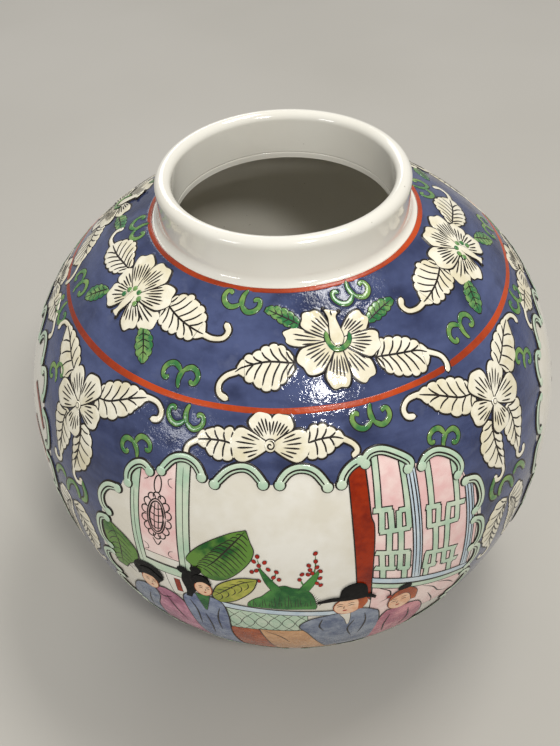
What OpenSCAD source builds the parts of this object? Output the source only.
// Ginger jar with an open mouth: a round porcelain body thrown in sections and luted together with
// slip, then decorated with raised enamels that are fused on the glaze.
// Origin: centre of the foot's underside. +Z up. The main painted panel faces -Y, +X is to its right.

/* [Body] */
// Diameter at the belly, the widest part
belly_d = 200; // [190:1:210]
// Height of the belly plane above the table
belly_z = 100; // [98:1:102]
// Rise of the shoulder dome above the belly plane, as if it ran on to the axis
dome_rise = 88.5; // [86:0.5:91]
// Squareness of the shoulder dome: 2 is an ellipse, more is fuller
dome_power = 2.15; // [2:0.05:2.3]
// Drop of the lower bowl below the belly plane, as if it ran on to the axis
bowl_drop = 112; // [110:1:116]
// Thickness of the porcelain wall
wall = 4.8; // [4:0.2:6]
// Thickness of the bowl's floor
floor_t = 6; // [5:0.5:8]

/* [Neck and lip] */
// Radius inside the mouth
mouth_r = 37.9; // [37:0.1:38.5]
// Radius of the round bead that forms the lip
lip_bead_r = 2.8; // [2.4:0.1:3]
// Height of the straight neck, from the shoulder joint to the middle of the lip
neck_h = 12.9; // [11:0.1:16]
// Extra radius where the neck spreads onto the shoulder
neck_flare = 2.3; // [1.5:0.1:3]

/* [Foot] */
// Height of the foot ring
foot_h = 5; // [4:0.5:6]
// Radius of the foot ring's outside at the table
foot_r = 52; // [50:0.5:52]
// Width of the foot ring
foot_w = 6.5; // [5:0.5:8]

/* [Enamel] */
// Thickness of the blue ground, the panels and the red lines
ground_t = 0.25; // [0.2:0.05:0.4]
// Height of the crown of a raised leaf or petal above the ground
relief = 0.5; // [0.3:0.1:0.8]
// Width of the iron-red line at the shoulder
shoulder_line_w = 2.2; // [1.5:0.1:3]
// Width of the iron-red lines at the neck and the foot
thin_line_w = 1.8; // [1:0.1:2.5]
// Half width of the scrolled frame round each panel
frame_half_w = 2; // [1.5:0.1:2.4]

/* [Hidden] */
belly_r = belly_d / 2;
dome_exp = 2 / dome_power;
lip_r = mouth_r + lip_bead_r;
neck_r = lip_r + lip_bead_r;
neck_foot_r = neck_r + neck_flare;

// The outside of the body is a curve of one angle t: 0 at the belly, positive up the dome.
// Every point is [radius, height above the belly plane].
function curve(t, grow = 0) = t >= 0
    ? [(belly_r + grow) * pow(cos(t), dome_exp), (dome_rise + grow) * pow(sin(t), dome_exp)]
    : [(belly_r + grow) * cos(t), (bowl_drop + grow) * sin(t)];
function unit(v) = v / norm(v);
function outward(t) = t >= 0
    ? unit([pow(cos(t), 2 - dome_exp) / belly_r, pow(sin(t), 2 - dome_exp) / dome_rise])
    : unit([cos(t) / belly_r, sin(t) / bowl_drop]);
function lifted(t, lift) = curve(t) + outward(t) * lift + [0, belly_z];

t_top = acos(pow(neck_foot_r / belly_r, dome_power / 2));
t_base = -asin((belly_z - foot_h) / bowl_drop);
joint_z = lifted(t_top, 0)[1];
row_step = 2.7;
function steps(a, b, n) = [for (i = [0:n]) a + (b - a) * i / n];
dome_rows = steps(0, t_top, round(t_top / row_step));
bowl_rows = steps(t_base, 0, round(-t_base / row_step));
all_rows = concat(bowl_rows, [for (i = [1:len(dome_rows) - 1]) dome_rows[i]]);

// Distance s along the profile, measured up from the belly, against the angle t
fine_step = 0.5;
function arc_up(t, s, last) = t > last ? []
    : concat([[s, t]], arc_up(t + fine_step, s + norm(curve(t + fine_step) - curve(t)), last));
function arc_down(t, s, last) = t < last ? []
    : concat(arc_down(t - fine_step, s - norm(curve(t - fine_step) - curve(t)), last), [[s, t]]);
arc_table = concat(arc_down(-fine_step, -norm(curve(-fine_step) - curve(0)), t_base - 1),
                   arc_up(0, 0, t_top + 1));
function t_at(s) = lookup(s, arc_table);
function radius_at(s) = curve(t_at(s))[0];
s_of_t = [for (row = arc_table) [row[1], row[0]]];
s_top = lookup(t_top, s_of_t);
s_base = lookup(t_base, s_of_t);

// A spot on the jar: angle from the front towards +X, distance s above the belly, lift off the glaze
function on_jar(angle, s, lift) = let (p = lifted(t_at(s), lift))
    [p[0] * sin(angle), -p[0] * cos(angle), p[1]];
degree_per_mm = 180 / PI;
function turned(p, a) = [p[0] * cos(a) - p[1] * sin(a), p[0] * sin(a) + p[1] * cos(a)];
// A motif's own millimetres round its centre [angle, s, turn], x to the right and y up
function spot(c, p, lift) = let (q = turned(p, c[2]), s = c[1] + q[1])
    on_jar(c[0] + q[0] / radius_at(s) * degree_per_mm, s, lift);

// Enamel layers, measured off the glaze
glaze_gap = 0.02;
ground_top = glaze_gap + ground_t;
motif_floor = ground_top + 0.1;
motif_edge = 0.25;

body_fn = 180;
seam_groove = 1.6;
seam_crown = 0.3;

// Decoration zones along the profile
shoulder_line_s = 64;
foot_line_s = s_base + 7;
shoulder_low = shoulder_line_s - shoulder_line_w / 2;
shoulder_high = shoulder_line_s + shoulder_line_w / 2;

// Panels: [centre angle, half width in degrees]
panel_angles = [-2, 89, 178, 268];
panel_half_widths = [40.5, 31, 40, 31];
// Cusps of one half of a panel's outline: [share of the half width, s]
panel_cusps = [[0, 44], [0.33, 44], [0.62, 41], [0.84, 32], [0.95, 12], [1, -12], [0.94, -36],
               [0.78, -54], [0.54, -64], [0.28, -68], [0, -67]];
scallop_bulge = 2.2;
scallop_steps = 4;

// Sprays: [angle, s, turn]
shoulder_spray_spots = [[13, 84, 180], [73.5, 87, 0], [134, 84, 180], [194, 87, 0],
                        [250, 84, 180], [305, 87, 0]];
crest_angles = [-5, 89, 178, 268];
crest_s = 53.5;
column_angles = [47, 131, 226.5, 307.5];
column_upper_s = 45.5;
column_lower_s = 0;

neck_scroll_spots = [[23, 97, 0], [103, 97, 0], [163, 97, 0], [223, 97, 0], [276, 97, 0], [343, 97, 0]];
shoulder_scroll_spots = [[48, 74, 180], [103, 74, 180], [164, 74, 180], [222, 74, 180],
                         [282, 74, 180], [331.5, 74, 180]];
crest_scroll_spots = [for (a = [17, 73, 105, 159, 197, 252, 284, 336.5]) [a, 58, 0]];
column_scroll_spots = [for (a = column_angles) [a, 13.5, 180]];

// ---- Porcelain ----

inner_base_t = -asin((belly_z - foot_h - floor_t) / (bowl_drop - wall));
throat_r = mouth_r + 0.7;
throat_t = acos(pow(throat_r / (belly_r - wall), dome_power / 2));
joint_in_r = throat_r + 1.2;
function above_belly(points) = [for (p = points) p + [0, belly_z]];

module lower_bowl() {
    inside = above_belly([for (t = steps(-1, inner_base_t, 20)) curve(t, -wall)]);
    color("white") rotate_extrude($fn = body_fn) polygon(concat(
        [[0, foot_h]],
        [for (t = bowl_rows) lifted(t, 0)],
        [[belly_r - wall + seam_groove, belly_z], [belly_r - wall, belly_z - seam_groove]],
        inside,
        [[0, foot_h + floor_t]]));
}

module shoulder_dome() {
    inside = above_belly([for (t = steps(throat_t, 1, 22)) curve(t, -wall)]);
    color("white") rotate_extrude($fn = body_fn) polygon(concat(
        [for (t = dome_rows) lifted(t, 0)],
        [[joint_in_r, joint_z], [throat_r, joint_z - (joint_in_r - throat_r)]],
        inside,
        [[belly_r - wall, belly_z + seam_groove], [belly_r - wall + seam_groove, belly_z]]));
}

module neck_collar() {
    lip_z = joint_z + neck_h;
    flare_h = 3;
    flare = [for (a = steps(0, 90, 6)) [neck_foot_r - neck_flare * sin(a), joint_z + flare_h * (1 - cos(a))]];
    lip = [for (a = steps(0, 180, 20)) [lip_r + lip_bead_r * cos(a), lip_z + lip_bead_r * sin(a)]];
    color("white") rotate_extrude($fn = body_fn) polygon(concat(
        [[joint_in_r, joint_z]], flare, lip, [[mouth_r, joint_z + seam_groove]]));
}

module foot_ring() {
    inner_r = foot_r - foot_w;
    edge = 0.8;
    color("wheat") rotate_extrude($fn = body_fn) polygon([
        [inner_r, edge], [inner_r + edge, 0], [foot_r - edge, 0], [foot_r, edge],
        [foot_r + 0.6, foot_h], [inner_r, foot_h]]);
}

// Slip pressed into the groove where two thrown sections meet
module belly_seam() {
    in_r = belly_r - wall;
    color("ivory") rotate_extrude($fn = body_fn) polygon([
        [in_r + seam_groove, belly_z], [in_r, belly_z + seam_groove],
        [in_r - seam_crown, belly_z + seam_groove / 2], [in_r - seam_crown, belly_z - seam_groove / 2],
        [in_r, belly_z - seam_groove]]);
}

module neck_seam() {
    color("ivory") rotate_extrude($fn = body_fn) polygon([
        [joint_in_r, joint_z], [mouth_r, joint_z + seam_groove], [mouth_r + seam_crown, joint_z],
        [throat_r, joint_z - (joint_in_r - throat_r)]]);
}

module foot_seam() {
    inner_r = foot_r - foot_w;
    color("ivory") rotate_extrude($fn = body_fn) polygon([
        [inner_r, foot_h], [inner_r - seam_groove, foot_h], [inner_r, foot_h - seam_groove]]);
}

// ---- Enamel skins ----

module skin(s_low, s_high, thickness = ground_t) {
    low = t_at(s_low);
    high = t_at(s_high);
    merge = 0.3;
    rows = concat([low], [for (t = all_rows) if (t > low + merge && t < high - merge) t], [high]);
    last = len(rows) - 1;
    rotate_extrude($fn = body_fn) polygon(concat(
        [for (t = rows) lifted(t, glaze_gap)],
        [for (i = [last:-1:0]) lifted(rows[i], glaze_gap + thickness)]));
}

module neck_line() { color("firebrick") skin(s_top - thin_line_w, s_top - 0.1); }
module shoulder_line() { color("firebrick") skin(shoulder_low, shoulder_high); }
module foot_line() { color("firebrick") skin(foot_line_s, foot_line_s + thin_line_w); }
module blue_ground_shoulder() { color("darkslateblue") skin(shoulder_high, s_top - thin_line_w); }

// Outline of panel i as cusps, right half then left half, in [degrees from its centre, s]
function cusp_ring(i) = let (w = panel_half_widths[i], last = len(panel_cusps) - 1) concat(
    [for (k = [0:last]) [panel_cusps[k][0] * w, panel_cusps[k][1]]],
    [for (k = [last - 1:-1:1]) [-panel_cusps[k][0] * w, panel_cusps[k][1]]]);

// A prism through the wall whose outline, seen from straight in front, is the panel's
module panel_prism(i) {
    reach = belly_r + 10;
    rotate([0, 0, panel_angles[i]]) rotate([90, 0, 0]) linear_extrude(reach)
        polygon([for (c = cusp_ring(i))
            [radius_at(c[1]) * sin(c[0]), lifted(t_at(c[1]), 0)[1]]]);
}

module blue_ground_body() {
    color("darkslateblue") difference() {
        skin(foot_line_s + thin_line_w, shoulder_low);
        for (i = [0:3]) panel_prism(i);
    }
}

module panel(i) {
    color("mintcream") intersection() {
        skin(foot_line_s + thin_line_w, shoulder_low);
        panel_prism(i);
    }
}

// ---- Raised enamel ----

// One strip of enamel, crowned along its middle, that follows the jar's surface.
// path holds points of the motif and half_w the half width at each of them.
// Each row has six points: three underneath, then three on top, going back.
module strip(c, path, half_w, closed = false) {
    n = len(path);
    rows = [for (i = [0:n - 1]) let (
        after = path[closed ? (i + 1) % n : min(i + 1, n - 1)],
        before = path[closed ? (i + n - 1) % n : max(i - 1, 0)],
        along = after - before,
        across = [along[1], -along[0]] / norm(along) * half_w[i])
        [path[i] - across, path[i], path[i] + across]];
    points = [for (row = rows) each [
        spot(c, row[0], motif_floor), spot(c, row[1], motif_floor), spot(c, row[2], motif_floor),
        spot(c, row[2], motif_floor + motif_edge), spot(c, row[1], motif_floor + relief),
        spot(c, row[0], motif_floor + motif_edge)]];
    end = 6 * (n - 1);
    cap = [[0, 1, 4], [0, 4, 5], [1, 2, 3], [1, 3, 4]];
    caps = closed ? [] : concat(cap, [for (f = cap) [f[2] + end, f[1] + end, f[0] + end]]);
    sides = [for (i = [0:closed ? n - 1 : n - 2], k = [0:5]) each let (
        a = 6 * i + k, b = 6 * i + (k + 1) % 6, a2 = (a + 6) % (6 * n), b2 = (b + 6) % (6 * n))
        [[b, a, b2], [a, a2, b2]]];
    polyhedron(points = points, faces = concat(caps, sides));
}

// Round-ended petal from near the centre outwards, in direction a
module petal(c, a, length, half_w) {
    stations = [0.24, 0.5, 0.78, 1];
    widths = [0.3, 0.75, 1, 0.5];
    strip(c, [for (k = stations) turned([0, length * k], a)], widths * half_w);
}

module flower(c, petals, length, half_w) {
    for (k = [0:petals - 1]) petal(c, 360 * k / petals, length, half_w);
}

// Leaf from root to tip, bent sideways by bend, ending in a thin hooked tail that turns by hook degrees
module leaf(c, root, tip, half_w, bend = 0, hook = 0, tail_r = 3.5) {
    along = tip - root;
    side = [-along[1], along[0]] / norm(along);
    middle = (root + tip) / 2 + side * bend;
    body_steps = 5;
    tail_steps = hook == 0 ? 0 : 4;
    tail_w = 0.8;
    body = [for (t = steps(0, 1, body_steps))
        (1 - t) * (1 - t) * root + 2 * t * (1 - t) * middle + t * t * tip];
    widths = [for (t = steps(0, 1, body_steps)) tail_w + (half_w - tail_w) * sin(180 * pow(t, 0.8))];
    heading = unit(tip - middle);
    turn_sign = hook < 0 ? -1 : 1;
    centre = tip + turned(heading, 90 * turn_sign) * tail_r;
    tail = [for (k = [1:1:tail_steps]) centre + turned(tip - centre, hook * k / tail_steps)];
    strip(c, concat(body, tail), concat(widths, [for (k = [1:1:tail_steps]) tail_w]));
}

// Flower with two white hooked leaves and, on the shoulder, two small green leaves
module shoulder_spray(i) {
    c = shoulder_spray_spots[i];
    color("ivory") {
        flower(c, 6, 12.5, 4.6);
        leaf(c, [-14, 3], [-30, 0], 5, -2, -130);
        leaf(c, [14, 3], [30, 0], 5, 2, 130);
    }
    color("seagreen") {
        leaf(c, [-8.5, -11], [-16, -18], 2.6);
        leaf(c, [8.5, -11], [16, -18], 2.6);
    }
}

// Half flower above a panel, with a leaf falling away on each side
module crest(i) {
    c = [crest_angles[i], crest_s, 0];
    fan = [-80, -27, 27, 80];
    color("ivory") {
        for (a = fan) petal(c, a, 8, 2.4);
        leaf(c, [-10, 1.5], [-20, -1], 2.6, -2, 60);
        leaf(c, [10, 1.5], [20, -1], 2.6, 2, -60);
    }
}

// Flower between two panels, with two leaves rising and two hanging
module column_spray(i) {
    c = [column_angles[i], column_upper_s, 0];
    color("ivory") {
        flower(c, 5, 9, 3.4);
        leaf(c, [-7, 8.5], [-17, 13], 2.6, -1.5, 160, 2);
        leaf(c, [7, 8.5], [17, 13], 2.6, 1.5, -160, 2);
        leaf(c, [-3.4, -10], [-3.2, -25], 2.4, 1.5, -150, 1.6);
        leaf(c, [3.4, -10], [3.2, -25], 2.4, -1.5, 150, 1.6);
    }
}

module column_tail(i) {
    c = [column_angles[i], column_lower_s, 0];
    color("ivory") {
        leaf(c, [-3.4, -14], [-3.6, 4], 2.4, -1.5, 150, 1.6);
        leaf(c, [3.4, -14], [3.6, 4], 2.4, 1.5, -150, 1.6);
        leaf(c, [-3.4, -18], [-3.6, -36], 2.4, 1.5, -150, 1.6);
        leaf(c, [3.4, -18], [3.6, -36], 2.4, -1.5, 150, 1.6);
    }
}

// Anchor-shaped scroll: a stem with two arms that curl back up
module scroll(c) {
    arm_r = 3;
    half_w = 0.75;
    root_x = 1.1;
    root_y = -1;
    curl = 0.35;
    start = 180;
    finish = 420;
    stem = [[0, root_y + 0.4], [0, 2], [0, 5]];
    strip(c, stem, [half_w, half_w, 0.5]);
    for (side = [-1, 1]) {
        arm = [for (a = steps(start, finish, 7)) let (
            r = arm_r * (1 - curl * (a - start) / (finish - start)))
            [side * (arm_r + root_x + r * cos(a)), root_y + r * sin(a)]];
        strip(c, arm, [for (p = arm) half_w]);
    }
}

module scrolls(spots) {
    color("mediumseagreen") for (c = spots) scroll(c);
}

// The scrolled frame: one closed strip that bulges outwards between the cusps of its panel
module frame(i) {
    c = [panel_angles[i], 0, 0];
    cusps = cusp_ring(i);
    n = len(cusps);
    flat = [for (p = cusps) [p[0] * radius_at(p[1]) / degree_per_mm, p[1]]];
    path = [for (k = [0:n - 1], j = [0:scallop_steps - 1]) let (
        a = flat[k], b = flat[(k + 1) % n], t = j / scallop_steps,
        out = unit([-(b - a)[1], (b - a)[0]]))
        a + (b - a) * t + out * scallop_bulge * 4 * t * (1 - t)];
    color("aquamarine") strip(c, path, [for (p = path) frame_half_w], closed = true);
}

lower_bowl();
shoulder_dome();
neck_collar();
foot_ring();
belly_seam();
neck_seam();
foot_seam();
neck_line();
shoulder_line();
foot_line();
blue_ground_shoulder();
blue_ground_body();
panel(0);  // panel_front
panel(1);  // panel_right
panel(2);  // panel_back
panel(3);  // panel_left
frame(0);  // frame_front
frame(1);  // frame_right
frame(2);  // frame_back
frame(3);  // frame_left
shoulder_spray(0);  // shoulder_spray_1
shoulder_spray(1);  // shoulder_spray_2
shoulder_spray(2);  // shoulder_spray_3
shoulder_spray(3);  // shoulder_spray_4
shoulder_spray(4);  // shoulder_spray_5
shoulder_spray(5);  // shoulder_spray_6
crest(0);  // crest_front
crest(1);  // crest_right
crest(2);  // crest_back
crest(3);  // crest_left
column_spray(0);  // column_spray_1
column_spray(1);  // column_spray_2
column_spray(2);  // column_spray_3
column_spray(3);  // column_spray_4
column_tail(0);  // column_tail_1
column_tail(1);  // column_tail_2
column_tail(2);  // column_tail_3
column_tail(3);  // column_tail_4
scrolls(neck_scroll_spots);  // neck_scrolls
scrolls(shoulder_scroll_spots);  // shoulder_scrolls
scrolls(crest_scroll_spots);  // crest_scrolls
scrolls(column_scroll_spots);  // column_scrolls
